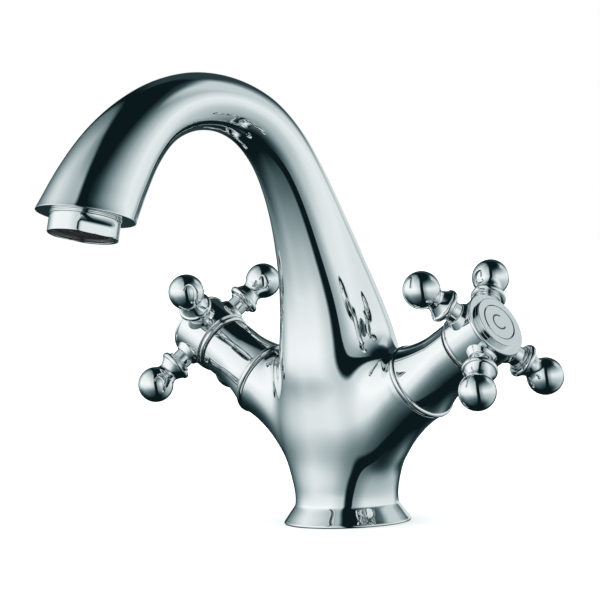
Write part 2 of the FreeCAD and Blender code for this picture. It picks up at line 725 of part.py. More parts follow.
def handle_hub():
    """Turned hub with a bead at its foot, a stepped dial on top and a boss for each arm."""
    bead_end = HUB_AT + HUB_BEAD_LENGTH
    spigot = BONNET_RADIUS - BONNET_WALL - MOVING_GAP
    spline_bore = SPLINE_RADIUS + THREAD_GAP
    hub = lathe(
        (spigot - SPIGOT_WALL, HUB_AT - SPIGOT_LENGTH),
        (spigot, HUB_AT - SPIGOT_LENGTH),
        (spigot, HUB_AT),
        (HUB_BEAD_RADIUS - HUB_BEAD_STEP, HUB_AT),
        ((HUB_BEAD_RADIUS, HUB_AT + HUB_BEAD_LENGTH / 2), (HUB_BEAD_RADIUS - HUB_GROOVE, bead_end)),
        (HUB_RADIUS, bead_end + HUB_GROOVE),
        (HUB_RADIUS, HUB_TOP - HUB_RIM_HEIGHT),
        ((HUB_RIM_RADIUS, HUB_TOP - HUB_RIM_HEIGHT / 2), (HUB_RADIUS, HUB_TOP)),
        (DIAL_RADIUS, HUB_TOP),
        (DIAL_RADIUS, DIAL_TOP - DIAL_EDGE),
        (DIAL_RADIUS - DIAL_EDGE, DIAL_TOP),
        (CAP_RECESS, DIAL_TOP),
        (CAP_RECESS, CAP_FLOOR),
        (SCREW_POCKET, CAP_FLOOR),
        (SCREW_POCKET, SCREW_SEAT),
        (SCREW_RADIUS + SLIP_GAP, SCREW_SEAT),
        (SCREW_RADIUS + SLIP_GAP, HUB_WEB_AT),
        (spline_bore, HUB_WEB_AT),
        (spline_bore, SPLINE_AT),
        (spigot - SPIGOT_WALL, SPLINE_AT),
    )
    boss = Part.makeCone(BOSS_ROOT_RADIUS, BOSS_RADIUS, BOSS_SEAT - BOSS_ROOT,
                         Vector(0, 0, BOSS_ROOT))
    tapping = rod(ARM_STUD_RADIUS + THREAD_GAP, BOSS_SEAT - ARM_STUD_LENGTH - SLIP_GAP,
                  BOSS_SEAT + PAST)
    notch = block((-NOTCH_WIDTH / 2, NOTCH_WIDTH / 2), (0, CAP_RECESS + NOTCH_LENGTH),
                  (DIAL_TOP - NOTCH_DEPTH, DIAL_TOP + PAST))
    arms = range(ARM_COUNT)
    hub = hub.fuse([radial(boss, i) for i in arms])
    return hub.cut([radial(tapping, i) for i in arms] + [turned(notch, NOTCH_TURN)])


def handle_arm():
    """Turned arm along Z: threaded stud, neck, thin bead, collar, waist and ball end."""
    waist_at = BALL_AT - NECK_WAIST
    # the waist's arc runs on into the ball without a step
    blend = (NECK_OUTER ** 2 + NECK_WAIST ** 2 - BALL_RADIUS ** 2) / (
        2 * (BALL_RADIUS - NECK_OUTER))
    slope = math.atan2(NECK_OUTER + blend, NECK_WAIST)
    meet = (BALL_RADIUS * math.sin(slope), BALL_AT - BALL_RADIUS * math.cos(slope))
    half = (math.pi / 2 - slope) / 2
    middle = (NECK_OUTER + blend * (1 - math.cos(half)), waist_at + blend * math.sin(half))
    collar_at = waist_at - COLLAR_BACK
    thin_bead_at = collar_at - THIN_BEAD_LENGTH
    return lathe(
        (0, BOSS_SEAT - ARM_STUD_LENGTH),
        (ARM_STUD_RADIUS, BOSS_SEAT - ARM_STUD_LENGTH),
        (ARM_STUD_RADIUS, BOSS_SEAT),
        (NECK_INNER, BOSS_SEAT),
        (NECK_INNER, thin_bead_at),
        ((NECK_INNER + THIN_BEAD_STEP, thin_bead_at + THIN_BEAD_LENGTH / 2),
         (NECK_OUTER, collar_at)),
        (COLLAR_RADIUS - COLLAR_STEP, collar_at),
        ((COLLAR_RADIUS, collar_at + COLLAR_LENGTH / 2),
         (COLLAR_RADIUS - COLLAR_FALL, collar_at + COLLAR_LENGTH)),
        ((NECK_OUTER + THROAT[0], collar_at + THROAT[1]), (NECK_OUTER, waist_at)),
        (middle, meet),
        ((BALL_RADIUS, BALL_AT), (0, BALL_AT + BALL_RADIUS)),
    )


def handle_screw():
    """Cross-recessed screw that holds the hub on the spindle."""
    head_top = SCREW_SEAT + SCREW_HEAD_HEIGHT
    screw = rod(SCREW_HEAD_RADIUS, SCREW_SEAT, head_top).fuse(
        rod(SCREW_RADIUS, SCREW_SEAT - SCREW_LENGTH, SCREW_SEAT))
    slot = block((-RECESS_REACH, RECESS_REACH), (-RECESS_WIDTH / 2, RECESS_WIDTH / 2),
                 (head_top - RECESS_DEPTH, head_top + PAST))
    return screw.cut([slot, turned(slot, 90)])


def letter_c(low, high):
    outer = LETTER_SIZE + LETTER_STROKE / 2
    arc = sector(LETTER_SIZE - LETTER_STROKE / 2, outer, C_HALF_ANGLE, low, high)
    return turned(arc, -90)


def letter_h(low, high):
    half = LETTER_STROKE / 2
    bar = (-LETTER_SIZE, LETTER_SIZE)
    spread = H_SPREAD * LETTER_SIZE
    left = block(bar, (-spread - half, -spread + half), (low, high))
    right = block(bar, (spread - half, spread + half), (low, high))
    return left.fuse([right, block((-half, half), (-spread, spread), (low, high))])


def index_cap(letter):
    """Snap-in cap over the screw: disc with an engraved letter, skirt with an O-ring groove."""
    disc_low = DIAL_TOP - CAP_THICKNESS
    skirt_low = disc_low - CAP_SKIRT
    skirt = CAP_RADIUS - CAP_SKIRT_STEP
    groove = CAP_RADIUS - 2 * CAP_RING_SECTION
    ring_at = skirt_low + CAP_SKIRT / 2
    half = CAP_RING_SECTION + CAP_RING_PLAY
    bore = groove - CAP_SKIRT_WALL
    cap = lathe(
        (0, disc_low),
        (bore, disc_low),
        (bore, skirt_low),
        (skirt, skirt_low),
        (skirt, ring_at - half),
        (groove, ring_at - half),
        (groove, ring_at + half),
        (skirt, ring_at + half),
        (skirt, disc_low),
        (CAP_RADIUS, disc_low),
        (CAP_RADIUS, DIAL_TOP - CAP_EDGE),
        (CAP_RADIUS - CAP_EDGE, DIAL_TOP),
        (0, DIAL_TOP),
    )
    return cap.cut(letter(DIAL_TOP - LETTER_DEPTH, DIAL_TOP + PAST))


def cap_o_ring():
    inner = CAP_RADIUS - 2 * CAP_RING_SECTION
    return oring(CAP_RING_SECTION, inner, DIAL_TOP - CAP_THICKNESS - CAP_SKIRT / 2)


# ---- all the pieces ----
def valve_pieces(letter):
    pieces = {
        "cartridge_body": cartridge_body(),
        "cartridge_o_ring": cartridge_o_ring(),
        "seat_seal": seat_seal(),
        "fixed_disc": fixed_disc(),
        "moving_disc": moving_disc(),
        "spindle": spindle(),
        "spindle_o_rings": spindle_o_rings(),
        "circlip": circlip(),
        "bonnet_cover": bonnet_cover(),
        "handle_hub": handle_hub(),
        "handle_screw": handle_screw(),
        "index_cap": index_cap(letter),
        "cap_o_ring": cap_o_ring(),
    }
    for i in range(ARM_COUNT):
        pieces[f"handle_arm_{i + 1}"] = radial(handle_arm(), i)
    return pieces


def all_pieces():
    pieces = {
        "body_casting": body_casting(),
        "inlet_block": inlet_block(),
        "base_seal_ring": base_seal_ring(),
        "aerator_housing": placed(aerator_housing(), MOUTH_PLACE),
        "aerator_insert": placed(aerator_insert(), MOUTH_PLACE),
        "aerator_mesh": placed(aerator_mesh(), MOUTH_PLACE),
        "aerator_washer": placed(aerator_washer(), MOUTH_PLACE),
    }
    for name, shape in valve_pieces(letter_c).items():
        pieces["cold_" + name] = on_cold(shape)
    for name, shape in valve_pieces(letter_h).items():
        pieces["hot_" + name] = on_hot(shape)
    return pieces


os.makedirs("parts", exist_ok=True)
for name, shape in all_pieces().items():
    shape.exportStep(f"parts/{name}.step")
    solids = len(shape.Solids)
    print(f"{name}: {solids} solid(s), {shape.Volume / 1000:.2f} cm3, valid {shape.isValid()}")
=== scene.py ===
import json
import math

import bmesh
import bpy
from mathutils import Matrix, Vector
from mathutils.bvhtree import BVHTree
from mathutils.geometry import barycentric_transform


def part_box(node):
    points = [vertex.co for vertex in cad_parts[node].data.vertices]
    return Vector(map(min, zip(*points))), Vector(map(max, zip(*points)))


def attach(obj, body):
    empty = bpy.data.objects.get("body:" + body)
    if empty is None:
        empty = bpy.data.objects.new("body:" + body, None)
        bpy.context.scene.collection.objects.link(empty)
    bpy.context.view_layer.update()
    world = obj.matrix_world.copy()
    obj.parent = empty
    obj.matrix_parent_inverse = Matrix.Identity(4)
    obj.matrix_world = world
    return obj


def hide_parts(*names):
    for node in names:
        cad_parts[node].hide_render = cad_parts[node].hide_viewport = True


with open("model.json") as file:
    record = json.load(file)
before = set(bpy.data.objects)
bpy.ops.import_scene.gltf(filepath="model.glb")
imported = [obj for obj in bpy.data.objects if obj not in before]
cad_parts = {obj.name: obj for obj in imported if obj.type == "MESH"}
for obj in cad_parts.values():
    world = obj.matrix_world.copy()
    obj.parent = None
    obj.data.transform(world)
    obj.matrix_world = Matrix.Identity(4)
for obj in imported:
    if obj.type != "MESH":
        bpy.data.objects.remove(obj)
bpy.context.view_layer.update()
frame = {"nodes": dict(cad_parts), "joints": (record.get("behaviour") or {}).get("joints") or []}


# ---- Body casting ----------------------------------------------------------------------------
# One brass casting: flared foot, waisted column, two valve arms and the swept spout. It is
# ground, polished and chromed all over, and the bores cut for the other pieces are bare brass.

MM = 0.001


class Wire:
    """An output inside a node tree. Sums on wires add Math nodes; node() adds any other."""

    def __init__(self, tree, socket=None):
        self.tree = tree
        self.socket = socket

    def node(self, kind, settings=None, sockets=None, output=0):
        """A new node, its settings first and then a value or a wire for each socket."""
        made = self.tree.nodes.new("ShaderNode" + kind)
        for name, value in (settings or {}).items():
            if name == "stops":
                while len(made.color_ramp.elements) < len(value):
                    made.color_ramp.elements.new(1.0)
                for stop, (place, shade) in zip(made.color_ramp.elements, value):
                    stop.position = place
                    stop.color = (shade, shade, shade, 1)
            else:
                setattr(made, name, value)
        for key, value in (sockets or {}).items():
            if isinstance(value, Wire):
                self.tree.links.new(value.socket, made.inputs[key])
            else:
                made.inputs[key].default_value = value
        return Wire(self.tree, made.outputs[output])

    def math(self, operation, first, second=0.0):
        """One Math node, for what the operators below don't cover."""
        return self.node("Math", {"operation": operation}, {0: first, 1: second})

    def __add__(self, other):
        return self.math("ADD", self, other)

    def __sub__(self, other):
        return self.math("SUBTRACT", self, other)

    def __rsub__(self, other):
        return self.math("SUBTRACT", other, self)

    def __mul__(self, other):
        return self.math("MULTIPLY", self, other)

    def __pow__(self, other):
        return self.math("POWER", self, other)

    __radd__ = __add__
    __rmul__ = __mul__

    def step(self, low, high):
        """Rises smoothly from 0 at low to 1 at high."""
        settings = {"interpolation_type": "SMOOTHSTEP"}
        return self.node("MapRange", settings, {"Value": self, "From Min": low, "From Max": high})


def finish(name, colour, metallic=0.0, roughness=0.5):
    """A new material, its shader and a wire that reads places on the object in metres."""
    material = bpy.data.materials.new(name)
    material.use_nodes = True
    shader = material.node_tree.nodes["Principled BSDF"]
    shader.inputs["Base Color"].default_value = (*colour, 1)
    shader.inputs["Metallic"].default_value = metallic
    shader.inputs["Roughness"].default_value = roughness
    return material, shader, Wire(material.node_tree).node("TexCoord", output="Object")


def chrome_plate(name, wave):
    """Mirror chrome with a breath of haze and the long waves that a polishing wheel leaves."""
    material, shader, place = finish(name, (0.86, 0.885, 0.89), metallic=1.0)
    links = material.node_tree.links
    haze = place.node("TexNoise", {}, {"Vector": place, "Scale": 70.0, "Detail": 4.0})
    smear = place.node("TexNoise", {}, {"Vector": place, "Scale": 420.0, "Detail": 2.0})
    roughness = 0.018 + haze.step(0.45, 0.8) * 0.035 + smear.step(0.55, 0.8) * 0.012
    links.new(roughness.socket, shader.inputs["Roughness"])
    ripple = place.node("TexNoise", {}, {"Vector": place, "Scale": 110.0, "Detail": 1.0})
    bump = place.node("Bump", {}, {"Height": ripple, "Strength": 1.0, "Distance": wave})
    links.new(bump.socket, shader.inputs["Normal"])
    return material


def machined_brass(name):
    """Bare turned brass, slightly dulled, with fine tool marks."""
    material, shader, place = finish(name, (0.74, 0.55, 0.27), metallic=1.0)
    links = material.node_tree.links
    marks = place.node("TexNoise", {}, {"Vector": place, "Scale": 900.0, "Detail": 3.0})
    dull = place.node("TexNoise", {}, {"Vector": place, "Scale": 120.0, "Detail": 4.0})
    links.new((0.24 + dull * 0.2).socket, shader.inputs["Roughness"])
    bump = place.node("Bump", {}, {"Height": marks, "Strength": 0.5, "Distance": 0.02 * MM})
    links.new(bump.socket, shader.inputs["Normal"])
    return material


cast_chrome = chrome_plate("cast_chrome", 0.004 * MM)
brass = machined_brass("machined_brass")

CASTING_SEGMENTS = 24
ROW_HEIGHTS = (10.3, 13.0, 17.5, 23.0, 29.0, 36.0, 43.0, 51.0, 60.0)
SPOUT_RINGS = 19
ARM_FROM = 13.0
ARM_TO = 76.0
ARM_WIDTH = 45.0  # degrees each side of the valve's direction
ARM_STEPS = 6
ARM_BORE = 10.4
VALVE_BORE = 9.3
MAX_SAG = 0.06  # the most that a flat facet lies under the true skin
MIRROR = Matrix.Diagonal((-1, 1, 1, 1))


def unit_ring(segments):
    """Radius that a cage of that many corners needs for its smooth surface to have radius 1."""
    return 6 / (4 + 2 * math.cos(2 * math.pi / segments))


class Outside:
    """The casting's surface in the frame, with the sag of its flat facets taken out."""

    def __init__(self, node):
        mesh = bmesh.new()
        mesh.from_mesh(frame["nodes"][node].data)
        bmesh.ops.remove_doubles(mesh, verts=mesh.verts, dist=0.001 * MM)
        self.keep_outer_skin(mesh)
        mesh.normal_update()
        self.points = [vert.co.copy() for vert in mesh.verts]
        self.normals = [vert.normal.copy() for vert in mesh.verts]
        self.facets = [[vert.index for vert in face.verts] for face in mesh.faces]
        mesh.free()
        self.tree = BVHTree.FromPolygons(self.points, self.facets, all_triangles=True)

    def keep_outer_skin(self, mesh):
        """Deletes the bores and channels, which meet the skin only at the flat ends."""
        planes = [(place.inverted(), RIM_AT * MM) for place in (VALVE, MIRROR @ VALVE)]
        planes += [(MOUTH.inverted(), 0.0), (Matrix(), 0.0)]
        near = 0.01 * MM
        ends = set()
        for face in mesh.faces:
            for inside, height in planes:
                if all(abs((inside @ vert.co).z - height) < near for vert in face.verts):
                    ends.add(face)
        skin = {max(mesh.faces, key=lambda face: face.calc_center_median().z)}
        fresh = list(skin)
        while fresh:
            for edge in fresh.pop().edges:
                for face in edge.link_faces:
                    if face not in skin and face not in ends:
                        skin.add(face)
                        fresh.append(face)
        others = [face for face in mesh.faces if face not in skin]
        bmesh.ops.delete(mesh, geom=others, context="FACES")

    def raise_from_facet(self, spot, index):
        """Lifts a place on a flat facet to the curved skin that the facet's corners lie on."""
        corners = self.facets[index]
        ends = [self.points[i] for i in corners]
        shares = barycentric_transform(
            spot, *ends, Vector((1, 0, 0)), Vector((0, 1, 0)), Vector((0, 0, 1)))
        lift = Vector()
        for corner, end, share in zip(corners, ends, shares):
            normal = self.normals[corner]
            lift -= 0.5 * share * (spot - end).dot(normal) * normal
        return spot + lift * min(1.0, MAX_SAG * MM / max(lift.length, 1e-9))

    def nearest(self, point):
        """The place on the skin nearest to a point."""
        spot, _, index, _ = self.tree.find_nearest(point)
        return self.raise_from_facet(spot, index)

    def seen_from(self, start, towards):
        """The first place on the skin that a look from start meets."""
        spot, _, index, _ = self.tree.ray_cast(start, towards - start)
        return self.raise_from_facet(spot, index)


def node_corners(node):
    """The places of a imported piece's corners."""
    return [vert.co for vert in frame["nodes"][node].data.vertices]


def node_middle(node):
    """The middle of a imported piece's box."""
    low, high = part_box(node)
    return (low + high) / 2


# the mouth's frame: Z runs out along the aerator's axis from the spout's end
washer_middle = node_middle("aerator_washer")
mouth_axis = (node_middle("aerator_mesh") - washer_middle).normalized()
mouth_turn = Vector((0, 0, 1)).rotation_difference(mouth_axis).to_matrix().to_4x4()
beside_mouth = [
    (point - washer_middle).dot(mouth_axis)
    for point in node_corners("body_casting")
    if (point - washer_middle).cross(mouth_axis).length < 20 * MM
]
MOUTH = Matrix.Translation(washer_middle + mouth_axis * max(beside_mouth)) @ mouth_turn


def valve_frame(side):
    """Z runs out along the valve's axis from the column's centre line, X points down."""
    joint = next(j for j in frame["joints"] if j["child"] == side + "_handle")
    out = Vector(joint["axis"]).normalized()
    out *= math.copysign(1, out.z)
    across = Vector((0, 1, 0))
    place = Matrix.Translation(Vector(joint["pos_m"]))
    return place @ Matrix((across.cross(out), across, out)).transposed().to_4x4()


VALVE = valve_frame("cold")


def valve_span(node):
    """Where a cold piece starts and ends along the valve's axis, in mm."""
    inside = VALVE.inverted()
    heights = [(inside @ point).z / MM for point in node_corners(node)]
    return min(heights), max(heights)


RIM_AT, BONNET_END = valve_span("cold_bonnet_cover")
casting = Outside("body_casting")


def pull_loop(mesh, loop, move, sharp=False, inside=False, free=False):
    """Extrudes a loop of edges, moves the new loop and returns it."""
    grown = bmesh.ops.extrude_edge_only(mesh, edges=loop)["geom"]
    new_loop = [item for item in grown if isinstance(item, bmesh.types.BMEdge)]
    corners = [item for item in grown if isinstance(item, bmesh.types.BMVert)]
    bmesh.ops.transform(mesh, matrix=move, verts=corners)
    for corner in corners:
        corner[mesh.verts.layers.int["free"]] = free
    crease = mesh.edges.layers.float["crease_edge"]
    for edge in new_loop:
        edge[crease] = 1.0 if sharp else 0.0
        edge.smooth = not sharp
        edge.link_faces[0].material_index = 1 if inside else 0
    return new_loop


def loop_corners(loop):
    """The corners of a loop of edges, each once."""
    return list({vert for edge in loop for vert in edge.verts})


def level(height, radius):
    """A ring of the foot."""
    size = radius * unit_ring(CASTING_SEGMENTS) * MM
    return Matrix.Translation((0, 0, height * MM)) @ Matrix.Diagonal((size, size, 1, 1))


def mouth_ring(offset, radius):
    """A ring round the mouth's axis, that far out from the spout's end."""
    size = radius * unit_ring(CASTING_SEGMENTS) * MM
    return MOUTH @ Matrix.Translation((0, 0, offset * MM)) @ Matrix.Diagonal((size, size, 1, 1))


def spout_line():
    """Walks up the column's upper part and along the spout, keeping to the middle."""
    stride = 2.5 * MM
    reach = 34 * MM  # clear of the skin on either side
    stop_before = 14 * MM
    lean_from = 30 * MM  # from here the rings turn to face the mouth
    centre = Vector((0, 0, ROW_HEIGHTS[-1] * MM))
    heading = Vector((0, 0, 1))
    line = []
    end = MOUTH.translation
    while (end - centre).length > stop_before:
        ahead = centre + heading * stride
        across = Vector((1, 0, 0)).cross(heading)
        front = casting.seen_from(ahead + across * reach, ahead)
        back = casting.seen_from(ahead - across * reach, ahead)
        middle = (front + back) / 2
        heading = (heading * 0.6 + (middle - centre).normalized() * 0.4).normalized()
        centre = middle
        near = max(0.0, 1 - (end - centre).length / lean_from)
        lean = heading.lerp(mouth_axis, near ** 0.5).normalized()
        line.append((centre.copy(), lean, (front - back).length / 2))
    return line


def column_ring(centre, heading, radius):
    """Unit circle's place round the spout there, a little larger than the casting."""
    turn = Vector((0, 0, 1)).rotation_difference(heading).to_matrix().to_4x4()
    size = radius * 1.02
    return Matrix.Translation(centre) @ turn @ Matrix.Diagonal((size, size, 1, 1))


def aerator_radius(node):
    """Radius of a turned piece of the aerator."""
    middle = node_middle(node)
    return max((p - middle).cross(mouth_axis).length for p in node_corners(node)) / MM


def casting_cage():
    """Rings from the foot's bore up the column and along the spout, and the two valve arms."""
    mesh = bmesh.new()
    crease = mesh.edges.layers.float.new("crease_edge")
    mesh.verts.layers.int.new("free")
    block_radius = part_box("inlet_block")[1].x / MM + 0.05
    block_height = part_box("inlet_block")[1].z / MM
    seal_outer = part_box("base_seal_ring")[1].x / MM + 0.1
    seal_inner = 20.4
    seal_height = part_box("base_seal_ring")[1].z / MM
    foot_radius = max(point.y for point in node_corners("body_casting")) / MM

    here = level(block_height, block_radius)
    start = bmesh.ops.create_circle(
        mesh, cap_ends=True, radius=1.0, segments=CASTING_SEGMENTS, matrix=here)
    loop = list({edge for vert in start["verts"] for edge in vert.link_edges})
    for edge in loop:
        edge[crease] = 1.0
        edge.smooth = False
    for face in mesh.faces:
        face.material_index = 1

    def grow(place, **flags):
        nonlocal loop, here
        loop = pull_loop(mesh, loop, place @ here.inverted(), **flags)
        here = place

    grow(level(0, block_radius), sharp=True, inside=True)
    grow(level(0, seal_inner), sharp=True)
    grow(level(seal_height, seal_inner), sharp=True, inside=True)
    grow(level(seal_height, seal_outer), sharp=True, inside=True)
    grow(level(0, seal_outer), sharp=True, inside=True)
    # drop below the lip, height above the deck: lip, hollow flare and the crease on top of it
    foot = [(0.75, 0.0), (0.35, 0.02), (0.08, 0.22), (0.0, 0.5), (0.02, 0.85), (0.25, 1.2),
            (0.75, 1.85), (1.55, 3.0), (2.6, 4.5), (3.7, 6.0), (4.28, 6.85), (4.52, 7.3),
            (4.66, 8.0)]
    for drop, height in foot:
        grow(level(height, foot_radius - drop))
    for height in ROW_HEIGHTS:
        grow(level(height, 0.98 * foot_radius), free=True)
    line = spout_line()
    for ring in range(SPOUT_RINGS):
        share = (ring + 1) / SPOUT_RINGS
        grow(column_ring(*line[int(share * (len(line) - 1))]), free=True)
    mouth_radius = 18.3
    thread_radius = aerator_radius("aerator_washer") + 0.05
    channel_radius = 9.3
    for offset in (-8.5, -4.0, -1.2):
        grow(mouth_ring(offset, mouth_radius), free=True)
    grow(mouth_ring(-0.22, mouth_radius))
    grow(mouth_ring(0, mouth_radius - 0.18))
    grow(mouth_ring(0, mouth_radius - 0.9))
    grow(mouth_ring(0, thread_radius + 0.5))
    grow(mouth_ring(0, thread_radius), sharp=True)
    grow(mouth_ring(-10, thread_radius), sharp=True, inside=True)
    grow(mouth_ring(-10, channel_radius), sharp=True, inside=True)
    grow(mouth_ring(-16, channel_radius), sharp=True, inside=True)
    bmesh.ops.edgeloop_fill(mesh, edges=loop, mat_nr=1)
    for side in (1, -1):
        valve_arm(mesh, side)
    bmesh.ops.recalc_face_normals(mesh, faces=mesh.faces)
    return mesh


def valve_arm(mesh, side):
    """Opens the column's side and draws the open edge out to the valve's rim."""
    place = VALVE if side > 0 else MIRROR @ VALVE
    opening = []
    for face in mesh.faces:
        spot = face.calc_center_median() / MM
        turn = math.degrees(math.atan2(abs(spot.y), spot.x * side))
        outside = face.material_index == 0
        if outside and ARM_FROM < spot.z < ARM_TO and turn < ARM_WIDTH:
            opening.append(face)
    bmesh.ops.delete(mesh, geom=opening, context="FACES")
    loop = [edge for edge in mesh.edges if edge.is_boundary]
    corners = loop_corners(loop)
    inside = place.inverted()
    middle = sum((inside @ corner.co for corner in corners), Vector()) / len(corners)

    def turn_of(corner):
        # a little past zero, so that the corner on top always comes first
        local = inside @ corner.co - middle
        return (math.atan2(local.y, -local.x) + 0.05) % (2 * math.pi)

    def in_order(loop):
        return sorted(loop_corners(loop), key=turn_of)

    open_edge = [corner.co.copy() for corner in in_order(loop)]
    rim_root = 15.0
    lead = RIM_AT - 3.0
    count = len(open_edge)
    size = rim_root * unit_ring(count) * MM
    rim = [
        place @ Vector((-size * math.cos(2 * math.pi * i / count),
                        size * math.sin(2 * math.pi * i / count), lead * MM))
        for i in range(count)
    ]
    for step in range(1, ARM_STEPS + 1):
        loop = pull_loop(mesh, loop, Matrix(), free=True)
        share = step / ARM_STEPS
        for corner, low, high in zip(in_order(loop), open_edge, rim):
            corner.co = low.lerp(high, share)
    here = Matrix.Translation((0, 0, lead * MM)) @ Matrix.Diagonal((size, size, 1, 1))

    def grow(at, radius, **flags):
        nonlocal loop, here
        reach = radius * unit_ring(count) * MM
        next_ring = Matrix.Translation((0, 0, at * MM)) @ Matrix.Diagonal((reach, reach, 1, 1))
        loop = pull_loop(mesh, loop, place @ next_ring @ here.inverted() @ inside, **flags)
        here = next_ring

    bead = RIM_AT - 1.8
    grow(bead - 0.35, rim_root)
    grow(bead, rim_root + 0.02)
    grow(bead + 0.9, rim_root + 0.02)
    grow(RIM_AT - 0.55, rim_root + 0.02)
    grow(RIM_AT - 0.4, rim_root - 0.02)
    grow(RIM_AT - 0.3, rim_root - 0.3)
    grow(RIM_AT - 0.1, rim_root - 0.6)
    grow(RIM_AT, rim_root - 0.65)
    # drop below the rim and radius of each step of the bore
    bore = [(0, 12.3), (1.5, 12.3), (1.5, ARM_BORE), (12.5, ARM_BORE), (12.5, VALVE_BORE),
            (25.5, VALVE_BORE)]
    for drop, radius in bore:
        grow(RIM_AT - drop, radius, sharp=True, inside=True)
    bmesh.ops.edgeloop_fill(mesh, edges=loop, mat_nr=1)


def smooth_surface(piece, levels):
    """The piece's subdivided surface as a new mesh, its corners on the limit."""
    modifier = piece.modifiers.new("smooth", "SUBSURF")
    modifier.levels = modifier.render_levels = levels
    modifier.use_limit_surface = True
    seen = piece.evaluated_get(bpy.context.evaluated_depsgraph_get())
    mesh = bpy.data.meshes.new_from_object(seen)
    piece.modifiers.remove(modifier)
    return mesh


def new_piece(name, mesh, *materials):
    """Puts a finished mesh into the scene as a smooth shaded piece."""
    data = bpy.data.meshes.new(name)
    mesh.to_mesh(data)
    mesh.free()
    data.shade_smooth()
    for material in materials:
        data.materials.append(material)
    piece = bpy.data.objects.new(name, data)
    bpy.context.scene.collection.objects.link(piece)
    return piece


def settle(piece, rounds):
    """Moves the cage until its smooth surface lies on the casting."""
    free = [i for i, flag in enumerate(piece.data.attributes["free"].data) if flag.value]
    for _ in range(rounds):
        surface = smooth_surface(piece, 1)
        for i in free:
            spot = surface.vertices[i].co
            piece.data.vertices[i].co += casting.nearest(spot) - spot
        piece.data.update()
        bpy.data.meshes.remove(surface)


RELAX_ROUNDS = 16
SETTLE_ROUNDS = 6
cage = casting_cage()
free_layer = cage.verts.layers.int["free"]
arm_skin = [vert for vert in cage.verts if vert[free_layer] and vert.co.z < 80 * MM]
for _ in range(RELAX_ROUNDS):
    for vert in cage.verts:
        if vert[free_layer]:
            vert.co = casting.nearest(vert.co)
    bmesh.ops.smooth_vert(
        cage, verts=arm_skin, factor=0.4, use_axis_x=True, use_axis_y=True, use_axis_z=True)
for vert in cage.verts:
    if vert[free_layer]:
        vert.co = casting.nearest(vert.co)
cage.normal_update()
body = new_piece("casting", cage, cast_chrome, brass)
settle(body, SETTLE_ROUNDS)

# the hollow between each arm and the column is filled to a soft web: only outward moves are kept,
# and they fade to nothing on the column's middle and on skin that faces down
WEB_ROUNDS = 14
WEB_FROM = 18
WEB_TO = 74
WEB_BESIDE = 5  # nearer to the column's middle plane there is no web
WEB_FADE = 6
FACING_DOWN = -0.6
cage = bmesh.new()
cage.from_mesh(body.data)
free_layer = cage.verts.layers.int["free"]
web = []
for vert in cage.verts:
    beside = min(1.0, max(0.0, (abs(vert.co.y) / MM - WEB_BESIDE) / WEB_FADE))
    if vert[free_layer] and WEB_FROM * MM < vert.co.z < WEB_TO * MM and beside > 0:
        web.append((vert, beside))
for _ in range(WEB_ROUNDS):
    before = [vert.co.copy() for vert, _ in web]
    bmesh.ops.smooth_vert(cage, verts=[vert for vert, _ in web], factor=0.5,
                          use_axis_x=True, use_axis_y=True, use_axis_z=True)
    cage.normal_update()
    for (vert, share), was in zip(web, before):
        share *= min(1.0, max(0.0, 1 - vert.normal.z / FACING_DOWN))
        gain = (vert.co - was).dot(vert.normal)
        vert.co = was + vert.normal * gain * share if gain > 0 else was
cage.to_mesh(body.data)
cage.free()
cage_data = body.data
body.data = smooth_surface(body, 2)
bpy.data.meshes.remove(cage_data)
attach(body, "body")
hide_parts("body_casting")


# ---- Inlet block and base seal ---------------------------------------------------------------
# The foot's bore holds a turned brass block with the threads for the two supply hoses and the
# stud. A rubber ring in the foot's groove seals the faucet to the deck.

def dress(node, material):
    """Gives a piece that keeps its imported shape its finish."""
    for slot in frame["nodes"][node].material_slots:
        slot.material = material


def soft_rubber(name):
    """Black moulded rubber, matt, with a fine grain and a dusty bloom."""
    material, shader, place = finish(name, (0.012, 0.012, 0.013), roughness=0.62)
    links = material.node_tree.links
    bloom = place.node("TexNoise", {}, {"Vector": place, "Scale": 150.0, "Detail": 4.0})
    links.new((0.5 + bloom * 0.3).socket, shader.inputs["Roughness"])
    shade = place.node("ValToRGB", {"stops": [(0.3, 0.008), (0.8, 0.018)]}, {0: bloom})
    links.new(shade.socket, shader.inputs["Base Color"])
    grain = place.node("TexNoise", {}, {"Vector": place, "Scale": 1800.0, "Detail": 2.0})
    bump = place.node("Bump", {}, {"Height": grain, "Strength": 0.6, "Distance": 0.03 * MM})
    links.new(bump.socket, shader.inputs["Normal"])
    return material


rubber = soft_rubber("seal_rubber")
dress("inlet_block", brass)
dress("base_seal_ring", rubber)


# ---- Bonnet covers ---------------------------------------------------------------------------
# A thin turned sleeve screws over each cartridge and hides it: a bead at the arm's rim, a hollow
# flare and a long straight neck. Brass, polished and chromed. Under the bead, a black rubber ring
# in the joint is painted shadow: it stands in for the dark shadow line that the joint shows.

ROUND_PIECES = 5
FLAT_HOLD = 1.35  # how far the corner that keeps a flat flat lies back from a rounding
TURNING_STEPS = 96


def softened(outline, closed):
    """Rounds the corners of (radius, height, round) places, and holds the flats beside them."""
    points = []
    for i, (radius, height, size) in enumerate(outline):
        corner = Vector((radius, height))
        if size == 0 or (not closed and i in (0, len(outline) - 1)):
            points.append(corner)
            continue
        before = Vector(outline[i - 1][:2]) - corner
        after = Vector(outline[(i + 1) % len(outline)][:2]) - corner
        size = min(size, 0.36 * before.length, 0.36 * after.length)
        start = corner + before.normalized() * size
        end = corner + after.normalized() * size
        points.append(corner + before.normalized() * size * FLAT_HOLD)
        for step in range(ROUND_PIECES + 1):
            share = step / ROUND_PIECES
            points.append(start.lerp(corner, share).lerp(corner.lerp(end, share), share))
        points.append(corner + after.normalized() * size * FLAT_HOLD)
    return points


